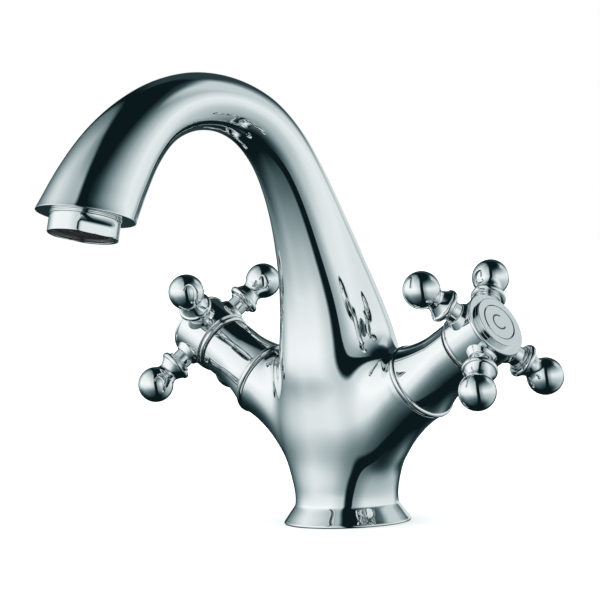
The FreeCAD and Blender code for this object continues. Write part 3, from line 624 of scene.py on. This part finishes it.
def bow(start, through, end, pieces=10):
    """Places along the arc through three (radius, height) places, without its ends."""
    a, b, c = (Vector(place) for place in (start, through, end))
    twice = 2 * (a.x * (b.y - c.y) + b.x * (c.y - a.y) + c.x * (a.y - b.y))
    squares = [place.length_squared for place in (a, b, c)]
    middle = Vector((
        (squares[0] * (b.y - c.y) + squares[1] * (c.y - a.y) + squares[2] * (a.y - b.y)) / twice,
        (squares[0] * (c.x - b.x) + squares[1] * (a.x - c.x) + squares[2] * (b.x - a.x)) / twice))
    first, half, last = (math.atan2(*(place - middle).yx) for place in (a, b, c))
    sweep = (last - first) % (2 * math.pi)
    if (half - first) % (2 * math.pi) > sweep:
        sweep -= 2 * math.pi
    size = (a - middle).length
    turns = [first + sweep * step / pieces for step in range(1, pieces)]
    return [(middle.x + size * math.cos(t), middle.y + size * math.sin(t), 0) for t in turns]


def turned(outline, closed=True):
    """Spins an outline round Z. An open one starts and ends on the axis."""
    mesh = bmesh.new()
    points = softened(outline, closed)
    chain = [mesh.verts.new((point.x * MM, 0, point.y * MM)) for point in points]
    ends = list(zip(chain, chain[1:]))
    if closed:
        ends.append((chain[-1], chain[0]))
    edges = [mesh.edges.new(pair) for pair in ends]
    bmesh.ops.spin(mesh, geom=chain + edges, cent=(0, 0, 0), axis=(0, 0, 1),
                   angle=2 * math.pi, steps=TURNING_STEPS, use_merge=True)
    bmesh.ops.remove_doubles(mesh, verts=mesh.verts, dist=0.0005 * MM)
    bmesh.ops.recalc_face_normals(mesh, faces=mesh.faces)
    return mesh


def put(mesh, place):
    """Moves a finished mesh to its place; a mirrored one is turned the right way out again."""
    bmesh.ops.transform(mesh, matrix=place, verts=mesh.verts)
    if place.determinant() < 0:
        bmesh.ops.reverse_faces(mesh, faces=mesh.faces)
    return mesh


SIDES = {"cold": VALVE, "hot": MIRROR @ VALVE}
chrome = chrome_plate("turned_chrome", 0.0012 * MM)

# outlines are (radius, height, rounding) in mm
NECK = 12.0
NECK_BORE = 10.8
THREAD = 9.3
bead_top = RIM_AT + 2.7
neck_from = RIM_AT + 16.5
bonnet_outline = [
    (13.6, RIM_AT, 0.1), (14.4, RIM_AT, 0.1), (14.7, RIM_AT + 0.25, 0.1),
    *bow((15.0, RIM_AT + 0.35), (15.85, RIM_AT + 1.4), (15.0, bead_top - 0.1)),
    (14.6, bead_top, 0.1), (15.0, bead_top + 0.25, 0.12),
    *bow((15.0, bead_top + 0.2), (13.15, RIM_AT + 9.0), (NECK, neck_from), 20),
    (NECK, neck_from, 0), (NECK, RIM_AT + 21.0, 0), (NECK, BONNET_END - 0.3, 0.15),
    (11.4, BONNET_END - 0.3, 0.1), (11.4, BONNET_END, 0.1), (NECK_BORE, BONNET_END, 0.1),
    (NECK_BORE, RIM_AT + 17.5, 0.1), (THREAD, RIM_AT + 17.5, 0.1), (THREAD, RIM_AT + 14.5, 0.1),
    (NECK_BORE, RIM_AT + 14.5, 0.1), (NECK_BORE, RIM_AT + 12.5, 0.5), (11.6, RIM_AT + 8.5, 0.5),
    (13.6, bead_top, 0.3),
]
# painted shadow: a black rubber ring under the bead that stands in for the joint's dark shadow
# line
rim_shadow_outline = [(13.0, RIM_AT - 0.45, 0.1), (14.72, RIM_AT - 0.45, 0.15),
                  (14.72, RIM_AT + 0.3, 0.15), (13.0, RIM_AT + 0.3, 0.1)]
for side, place in SIDES.items():
    rim_shadow_gasket = new_piece(side + "_cover_gasket", put(turned(rim_shadow_outline), place), rubber)
    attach(rim_shadow_gasket, "body")
    cover = new_piece(side + "_cover", put(turned(bonnet_outline), place), chrome)
    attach(cover, "body")
    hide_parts(side + "_bonnet_cover")


# ---- Handle hubs -----------------------------------------------------------------------------
# A turned brass hub sits on the spindle's splines: a bead at its foot, a barrel with a rolled
# rim, and a raised dial round the cap's recess. Four cone bosses take the handle's arms. It is
# chromed. A black rubber ring at the sleeve's end is painted shadow: it stands in for the dark
# shadow line in the joint between hub and sleeve.

ARM_COUNT = 4
SPIGOT = 2.0  # the hub reaches that far down into the sleeve
hub_foot, DIAL_TOP = valve_span("cold_handle_hub")
HUB_AT = hub_foot + SPIGOT
HUB_TOP = DIAL_TOP - 1.8
CROSS_AT = HUB_AT + 10.4
CROSS_ANGLE = math.radians(49.0)
BARREL = 13.0
RECESS = 7.3
recess_floor = DIAL_TOP - 5.6
hub_outline = [
    (9.0, HUB_AT - SPIGOT, 0.2), (10.5, HUB_AT - SPIGOT, 0.2), (10.5, HUB_AT, 0.1),
    (11.5, HUB_AT, 0.1), (11.9, HUB_AT + 0.4, 0.1),
    *bow((12.1, HUB_AT + 0.42), (12.72, HUB_AT + 1.35), (12.1, HUB_AT + 2.25)),
    (11.8, HUB_AT + 2.4, 0.1), (12.7, HUB_AT + 2.5, 0.1), (BARREL, HUB_AT + 2.8, 0.2),
    (BARREL, HUB_TOP - 1.55, 0.12),
    *bow((BARREL, HUB_TOP - 1.5), (13.3, HUB_TOP - 0.75), (BARREL, HUB_TOP)),
    (BARREL, HUB_TOP, 0.15), (10.4, HUB_TOP, 0.12),
    (10.4, DIAL_TOP, 0.35), (7.5, DIAL_TOP, 0.25), (7.5, DIAL_TOP - 0.8, 0.1),
    (RECESS, DIAL_TOP - 1.0, 0.1), (RECESS, recess_floor, 0.1),
    (4.6, recess_floor, 0.1), (4.6, HUB_AT + 4.0, 0.1), (9.0, HUB_AT + 4.0, 0.2),
]
boss_outline = [
    (0, 10.6, 0), (6.7, 10.6, 0.1), (4.5, 14.2, 0.3), (3.4, 14.2, 0.1), (0, 14.2, 0),
]


def along_arm(place, index):
    """Lays Z out along one of the cross's arms."""
    turn = Matrix.Rotation(CROSS_ANGLE + index * 2 * math.pi / ARM_COUNT, 4, "Z")
    lift = Matrix.Translation((0, 0, CROSS_AT * MM))
    return place @ lift @ turn @ Matrix.Rotation(math.pi / 2, 4, "Y")


def joined(first, *others):
    """One mesh of several closed skins."""
    for other in others:
        data = bpy.data.meshes.new("skin")
        other.to_mesh(data)
        other.free()
        first.from_mesh(data)
        bpy.data.meshes.remove(data)
    return first


# painted shadow: a black rubber ring at the sleeve's end that stands in for the joint's dark
# shadow line
joint_shadow_outline = [
    (11.45, BONNET_END - 0.35, 0.05), (11.85, BONNET_END - 0.35, 0.15),
    (11.85, HUB_AT + 0.45, 0.15), (10.6, HUB_AT + 0.45, 0.1),
    (10.6, BONNET_END + 0.05, 0.1), (11.45, BONNET_END + 0.05, 0.05),
]
for side, place in SIDES.items():
    hub_joint_shadow = new_piece(side + "_glide_ring", put(turned(joint_shadow_outline), place), rubber)
    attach(hub_joint_shadow, side + "_handle")
    hub_mesh = put(turned(hub_outline), place)
    bosses = [
        put(turned(boss_outline, False), along_arm(place, index)) for index in range(ARM_COUNT)]
    hub = new_piece(side + "_hub", joined(hub_mesh, *bosses), chrome)
    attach(hub, side + "_handle")
    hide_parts(side + "_handle_hub")


# ---- Handle arms -----------------------------------------------------------------------------
# Four turned brass arms screw into each hub's bosses: a neck, a thin bead, a wide rounded
# collar, a hollow throat and a ball end. Each is one turning, polished and chromed.

BALL_AT = 31.1
BALL = 7.22
WAIST_DROP = 7.2
WAIST_AT = BALL_AT - WAIST_DROP
WAIST = 4.3
STUD = 2.5
NECK_END = 14.22
ARM_NECK = 4.0
# the throat is an arc, upright at the waist, that runs into the ball without a corner
hollow = (WAIST ** 2 + WAIST_DROP ** 2 - BALL ** 2) / (2 * (BALL - WAIST))
slope = math.atan2(WAIST + hollow, WAIST_DROP)
meet = (BALL * math.sin(slope), BALL_AT - BALL * math.cos(slope))
half_throat = (math.pi / 2 - slope) / 2
mid_throat = (WAIST + hollow * (1 - math.cos(half_throat)),
              WAIST_AT + hollow * math.sin(half_throat))
shoulder = BALL * math.sqrt(0.5)
near_tip = (BALL * math.sin(0.4), BALL_AT + BALL * math.cos(0.4))
arm_outline = [
    (0, 6.8, 0), (STUD, 6.8, 0.3), (STUD, NECK_END, 0.05), (ARM_NECK, NECK_END, 0.25),
    (ARM_NECK, 17.3, 0.15), (4.35, 17.32, 0.1),
    *bow((4.35, 17.3), (5.0, 17.85), (4.4, 18.38)),
    (4.4, 18.4, 0.1), (5.75, 18.42, 0.25),
    *bow((6.0, 18.5), (6.8, 19.55), (6.55, 20.6)),
    (6.5, 20.7, 0.2),
    *bow((6.1, 20.75), (5.05, 22.3), (WAIST, WAIST_AT), 12),
    (WAIST, WAIST_AT, 0),
    *bow((WAIST, WAIST_AT), mid_throat, meet, 8),
    (*meet, 0),
    *bow(meet, (BALL, BALL_AT), (shoulder, BALL_AT + shoulder), 28),
    (shoulder, BALL_AT + shoulder, 0),
    *bow((shoulder, BALL_AT + shoulder), near_tip, (0, BALL_AT + BALL), 14),
    (0, BALL_AT + BALL, 0),
]
for side, place in SIDES.items():
    for index in range(ARM_COUNT):
        arm_mesh = put(turned(arm_outline, False), along_arm(place, index))
        arm = new_piece(side + "_arm_" + str(index + 1), arm_mesh, chrome)
        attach(arm, side + "_handle")
        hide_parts(side + "_handle_arm_" + str(index + 1))


# ---- Index caps ------------------------------------------------------------------------------
# A chromed cap snaps into each dial over the handle's screw, held by a rubber ring. An engraved
# letter on it, filled with dark enamel, says which water it is.

def bright_steel(name):
    """Stainless steel, lightly brushed."""
    material, shader, place = finish(name, (0.62, 0.61, 0.59), metallic=1.0)
    links = material.node_tree.links
    brushed = place.node("TexNoise", {}, {"Vector": place, "Scale": 700.0, "Detail": 3.0})
    links.new((0.2 + brushed * 0.16).socket, shader.inputs["Roughness"])
    bump = place.node("Bump", {}, {"Height": brushed, "Strength": 0.5, "Distance": 0.01 * MM})
    links.new(bump.socket, shader.inputs["Normal"])
    return material


def enamel(name, colour):
    """Dark enamel rubbed into an engraving, a little uneven."""
    material, shader, place = finish(name, colour, roughness=0.35)
    links = material.node_tree.links
    cloud = place.node("TexNoise", {}, {"Vector": place, "Scale": 1500.0, "Detail": 3.0})
    links.new((0.25 + cloud * 0.25).socket, shader.inputs["Roughness"])
    bump = place.node("Bump", {}, {"Height": cloud, "Strength": 0.4, "Distance": 0.02 * MM})
    links.new(bump.socket, shader.inputs["Normal"])
    return material


LETTER_SIZE = 3.0
LETTER_STROKE = 0.68
INLAY_DEPTH = 0.32
INLAY_AT = DIAL_TOP - 0.22
C_HALF_SWEEP = math.radians(132.0)
letter_enamel = enamel("letter_enamel", (0.03, 0.035, 0.04))
steel = bright_steel("stainless")


def letter_bar(mesh, middle, size):
    """A straight stroke of a letter."""
    place = Matrix.Translation(Vector((*middle, INLAY_AT)) * MM)
    spread = Matrix.Diagonal((size[0] * MM, size[1] * MM, INLAY_DEPTH * MM, 1))
    bmesh.ops.create_cube(mesh, size=1.0, matrix=place @ spread)


def letter_c():
    """A square stroke swept most of the way round, open away from the column."""
    mesh = bmesh.new()
    upright = Matrix.Rotation(math.pi / 2, 4, "X")
    stroke = Matrix.Diagonal((LETTER_STROKE * MM, INLAY_DEPTH * MM, 1, 1))
    bmesh.ops.create_grid(
        mesh, x_segments=1, y_segments=1, size=0.5,
        matrix=Matrix.Translation(Vector((LETTER_SIZE, 0, INLAY_AT)) * MM) @ upright @ stroke)
    bmesh.ops.rotate(mesh, verts=mesh.verts, cent=(0, 0, 0),
                     matrix=Matrix.Rotation(-math.pi / 2 - C_HALF_SWEEP, 3, "Z"))
    section = mesh.verts[:] + mesh.faces[:] + mesh.edges[:]
    bmesh.ops.duplicate(mesh, geom=section)  # stays behind as the stroke's first end
    bmesh.ops.spin(mesh, geom=section, cent=(0, 0, 0),
                   axis=(0, 0, 1), angle=2 * C_HALF_SWEEP, steps=40)
    bmesh.ops.remove_doubles(mesh, verts=mesh.verts, dist=0.0005 * MM)
    bmesh.ops.recalc_face_normals(mesh, faces=mesh.faces)
    return mesh


def letter_h():
    """Two uprights and a bar between them."""
    mesh = bmesh.new()
    spread = 0.65 * LETTER_SIZE
    for at in (-spread, spread):
        letter_bar(mesh, (0, at), (2 * LETTER_SIZE, LETTER_STROKE))
    letter_bar(mesh, (0, 0), (LETTER_STROKE, 2 * spread - LETTER_STROKE))
    return mesh


for side, letter in (("cold", letter_c), ("hot", letter_h)):
    inlay = new_piece(side + "_letter", put(letter(), SIDES[side]), letter_enamel)
    inlay.data.shade_flat()
    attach(inlay, side + "_handle")
for side in SIDES:
    dress(side + "_index_cap", chrome)
    dress(side + "_cap_o_ring", rubber)
    dress(side + "_handle_screw", steel)


# ---- Cartridges ------------------------------------------------------------------------------
# Each valve's works: a turned brass body that screws into the arm, two ceramic discs, a splined
# spindle held by a steel clip, and the rubber rings and seat that keep the water in.

def fired_ceramic(name):
    """Lapped white alumina with a faint speckle."""
    material, shader, place = finish(name, (0.86, 0.85, 0.82), roughness=0.2)
    links = material.node_tree.links
    speckle = place.node("TexNoise", {}, {"Vector": place, "Scale": 2200.0, "Detail": 2.0})
    shade = place.node("ValToRGB", {"stops": [(0.35, 0.74), (0.6, 0.87)]}, {0: speckle})
    links.new(shade.socket, shader.inputs["Base Color"])
    links.new((0.14 + speckle * 0.14).socket, shader.inputs["Roughness"])
    return material


ceramic = fired_ceramic("ceramic")
for side in SIDES:
    for part_name in ("cartridge_body", "spindle"):
        dress(side + "_" + part_name, brass)
    for part_name in ("cartridge_o_ring", "seat_seal", "spindle_o_rings"):
        dress(side + "_" + part_name, rubber)
    for part_name in ("fixed_disc", "moving_disc"):
        dress(side + "_" + part_name, ceramic)
    dress(side + "_circlip", steel)


# ---- Aerator ---------------------------------------------------------------------------------
# A chromed housing screws into the spout's mouth against a rubber washer. It has two wrench
# flats, and holds a white plastic jet regulator with a dark screen of woven wire below it.

def moulded_plastic(name):
    """White moulded plastic, satin, slightly uneven."""
    material, shader, place = finish(name, (0.8, 0.8, 0.78), roughness=0.4)
    links = material.node_tree.links
    cloud = place.node("TexNoise", {}, {"Vector": place, "Scale": 200.0, "Detail": 3.0})
    links.new((0.32 + cloud * 0.2).socket, shader.inputs["Roughness"])
    bump = place.node("Bump", {}, {"Height": cloud, "Strength": 0.4, "Distance": 0.02 * MM})
    links.new(bump.socket, shader.inputs["Normal"])
    return material


def dark_wire(name):
    """Drawn steel wire, darkened, with a little scale from the water."""
    material, shader, place = finish(name, (0.04, 0.04, 0.042), metallic=0.3)
    links = material.node_tree.links
    scale = place.node("TexNoise", {}, {"Vector": place, "Scale": 600.0, "Detail": 4.0})
    links.new((0.32 + scale * 0.3).socket, shader.inputs["Roughness"])
    shade = place.node("ValToRGB", {"stops": [(0.45, 0.018), (0.75, 0.06)]}, {0: scale})
    links.new(shade.socket, shader.inputs["Base Color"])
    return material


HOUSING = 12.9
HOUSING_END = 7.3
FLATS_FROM = 3.1
FLAT_AT = 11.3
FLATS_TURN = math.radians(21.0)
SHARP_ANGLE = math.radians(17)
housing_outline = [
    (10.2, -8.0, 0.2), (11.85, -8.0, 0.4), (11.85, -0.02, 0.1),
    (13.15, 0, 0.1), (13.15, 0.55, 0.15), (HOUSING, 0.7, 0.1),
    (HOUSING, FLATS_FROM, 0), (HOUSING, FLATS_FROM + 0.02, 0), (HOUSING, 4.3, 0),
    (HOUSING, 5.4, 0), (HOUSING, HOUSING_END, 0.45), (11.3, HOUSING_END, 0.25),
    (11.3, 5.6, 0.1), (9.2, 5.6, 0.1), (9.2, 4.6, 0.1), (10.2, 4.6, 0.1),
]
housing_mesh = turned(housing_outline)
flat_way = Vector((math.cos(FLATS_TURN), math.sin(FLATS_TURN), 0))
for vert in housing_mesh.verts:
    across = vert.co.dot(flat_way)
    if vert.co.z > (FLATS_FROM + 0.01) * MM and abs(across) > FLAT_AT * MM:
        vert.co -= flat_way * (across - math.copysign(FLAT_AT * MM, across))
for edge in housing_mesh.edges:
    edge.smooth = edge.calc_face_angle(0.0) < SHARP_ANGLE
housing = new_piece("aerator_body", put(housing_mesh, MOUTH), chrome)
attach(housing, "body")
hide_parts("aerator_housing")

SCREEN_AT = 5.9
SCREEN_RIM = 11.15
SCREEN_BORE = 9.25
WIRES_END = 9.5  # the wires' ends lie inside the screen's ring
WIRE = 0.17
WIRE_PITCH = 0.95
WIRE_COUNT = 9  # each side of the middle one
LAYER_LIFT = 0.13
screen_mesh = turned([(SCREEN_BORE, 5.65, 0.1), (SCREEN_RIM, 5.65, 0.1),
                      (SCREEN_RIM, 6.2, 0.1), (SCREEN_BORE, 6.2, 0.1)])
for lay_turn, lift in ((0, -LAYER_LIFT), (math.pi / 2, LAYER_LIFT)):
    lay = Matrix.Rotation(lay_turn, 4, "Z")
    for row in range(-WIRE_COUNT, WIRE_COUNT + 1):
        half_length = math.sqrt(WIRES_END ** 2 - (row * WIRE_PITCH) ** 2)
        at = Vector((0, row * WIRE_PITCH, SCREEN_AT + lift)) * MM
        bmesh.ops.create_cone(
            screen_mesh, cap_ends=True, segments=8, radius1=WIRE * MM,
            radius2=WIRE * MM, depth=2 * half_length * MM,
            matrix=lay @ Matrix.Translation(at) @ Matrix.Rotation(math.pi / 2, 4, "Y"))
screen = new_piece("outlet_screen", put(screen_mesh, MOUTH), dark_wire("dark_wire"))
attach(screen, "body")
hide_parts("aerator_mesh")

dress("aerator_insert", moulded_plastic("white_plastic"))
dress("aerator_washer", rubber)


# ---- Studio ----------------------------------------------------------------------------------
# Pale table and backdrop. Two broad soft boxes stand left and right of the camera with a dark
# gap between them, and a dimmer wall stands behind.

scene = bpy.context.scene
scene.view_settings.view_transform = "Standard"

CAMERA_TURN = math.radians(41.24)
CAMERA_RISE = math.radians(2.0)
CAMERA_ROLL = math.radians(-2.1)
CAMERA_DISTANCE = 1.076
AIM_HEIGHT = 0.0879

camera_data = bpy.data.cameras.new("camera")
camera_data.sensor_width = 36
camera_data.lens = 164.2
camera_data.shift_x = -0.0662
camera_data.shift_y = -0.0024
camera_data.clip_end = 50
camera = bpy.data.objects.new("camera", camera_data)
scene.collection.objects.link(camera)
away = Vector((math.sin(CAMERA_TURN) * math.cos(CAMERA_RISE),
               -math.cos(CAMERA_TURN) * math.cos(CAMERA_RISE), math.sin(CAMERA_RISE)))
level_right = Vector((math.cos(CAMERA_TURN), math.sin(CAMERA_TURN), 0))
level_up = away.cross(level_right)
right = level_right * math.cos(CAMERA_ROLL) + level_up * math.sin(CAMERA_ROLL)
up = away.cross(right)
camera_turn = Matrix((right, up, away)).transposed().to_4x4()
stand = Vector((0, 0, AIM_HEIGHT)) + away * CAMERA_DISTANCE
camera.matrix_world = Matrix.Translation(stand) @ camera_turn
scene.camera = camera

TABLE_RADIUS = 6.0
table = bmesh.new()
bmesh.ops.create_circle(table, cap_ends=True, radius=TABLE_RADIUS, segments=96)
paper, _, _ = finish("white_paper", (0.9, 0.9, 0.9), roughness=0.8)
floor = new_piece("table", table, paper)
floor.visible_glossy = False

world = bpy.data.worlds.new("studio")
scene.world = world
world.use_nodes = True
tree = world.node_tree
tree.nodes.clear()
air = Wire(tree)
direction = air.node("TexCoord", output="Generated")
axes = [air.node("SeparateXYZ", {}, {0: direction}, output=i) for i in range(3)]
# degrees from the front, positive to the right, and degrees above the level
azimuth = air.math("ARCTAN2", axes[0], 0 - axes[1]) * math.degrees(1)
elevation = air.math("ARCSINE", axes[2]) * math.degrees(1)
around = azimuth.math("FLOORED_MODULO", azimuth, 360.0)
overhead = axes[2].math("MAXIMUM", axes[2], 0.0) ** 2.0


def rise(stops):
    """Brightness against elevation, from (degrees, brightness) pairs."""
    places = [((height + 90) / 180, shade) for height, shade in stops]
    return air.node("ValToRGB", {"stops": places}, {0: (elevation + 90) * (1 / 180)})


left_rise = rise([
    (-90, 0.06), (-72, 0.22), (-58, 0.32), (-42, 0.42), (-28, 0.6), (-12, 0.89), (6, 0.98),
    (38, 0.93), (52, 0.88), (64, 0.82), (74, 0.62), (84, 0.24)])
right_rise = rise([
    (-90, 0.04), (-70, 0.14), (-55, 0.34), (-42, 0.56), (-30, 0.7), (-15, 0.78), (-4, 0.88),
    (8, 0.92), (20, 0.82), (34, 0.64), (46, 0.42), (54, 0.26), (62, 0.13), (72, 0.04)])

# a dark gap runs from the floor up between the boxes, over the top and down behind
GAP_TURN = math.radians(46)
GAP_LEAN = 0.14
across_gap = axes[0] * math.cos(GAP_TURN) + axes[1] * math.sin(GAP_TURN) + axes[2] * GAP_LEAN

# the left box, dimmer to the left, beside the gap and low down on the left
left_fall = azimuth.step(-138, -112) * 0.48 + azimuth.step(-128, -64) * 0.52
left_edge = 1 - (across_gap - overhead * 0.16).step(-0.27, -0.11)
beside_gap = across_gap.step(-0.75, -0.2)
low_left = (1 - azimuth.step(-92, -32)) * (1 - elevation.step(-26, 0))
left_box = left_rise * left_fall * left_edge
left_box = left_box * (1 - beside_gap * 0.15) * (1 - low_left * 0.6)

# the right box, dimmer beside the gap and towards the back
right_across = across_gap - overhead * 0.15
right_edge = right_across.step(0.07, 0.12) * 0.7 + right_across.step(0.1, 0.6) * 0.3
right_box = right_rise * right_edge * (1 - around.step(165, 205) * 0.8)

# the wall: high up on the right, a bright strip at the camera's level, and a dim rest
high_wall = around.step(108, 150) * (1 - around.step(165, 198))
high_wall = high_wall * (1 - elevation.step(43, 60)) * elevation.step(4, 24) * 0.8
off_level = elevation.math("ABSOLUTE", elevation - 4)
back_wall = azimuth.step(-120, -140) * (1 - off_level.step(5, 14)) * 0.84
dim_back = azimuth.step(-112, -135) * 0.24
dim_back = dim_back * (1 - elevation.step(48, 60)) * elevation.step(-80, -10)

DARKEST = 0.12
lit = left_box
for light in (right_box, high_wall, back_wall, dim_back, DARKEST):
    lit = lit.math("MAXIMUM", lit, light)

# the powers turn even steps of grey into light and tint the darker ones blue-green
STRENGTH = 1.12
red = lit ** 2.64 * STRENGTH
green = lit ** 2.2 * STRENGTH
blue = lit ** 2.13 * STRENGTH
colour = air.node("CombineColor", {}, {0: red, 1: green, 2: blue})
boxes = air.node("Background", {}, {0: colour, 1: 1.0})
backdrop = air.node("Background", {}, {0: (1, 1, 1, 1), 1: 1.0})
seen = air.node("LightPath", output="Is Camera Ray")
mixed = air.node("MixShader", {}, {0: seen, 1: boxes, 2: backdrop})
output = tree.nodes.new("ShaderNodeOutputWorld")
tree.links.new(mixed.socket, output.inputs["Surface"])

sky_data = bpy.data.lights.new("overhead_fill", "SUN")
sky_data.energy = 4.6
sky_data.angle = math.radians(120)
sky = bpy.data.objects.new("overhead_fill", sky_data)
sky.visible_glossy = False
scene.collection.objects.link(sky)
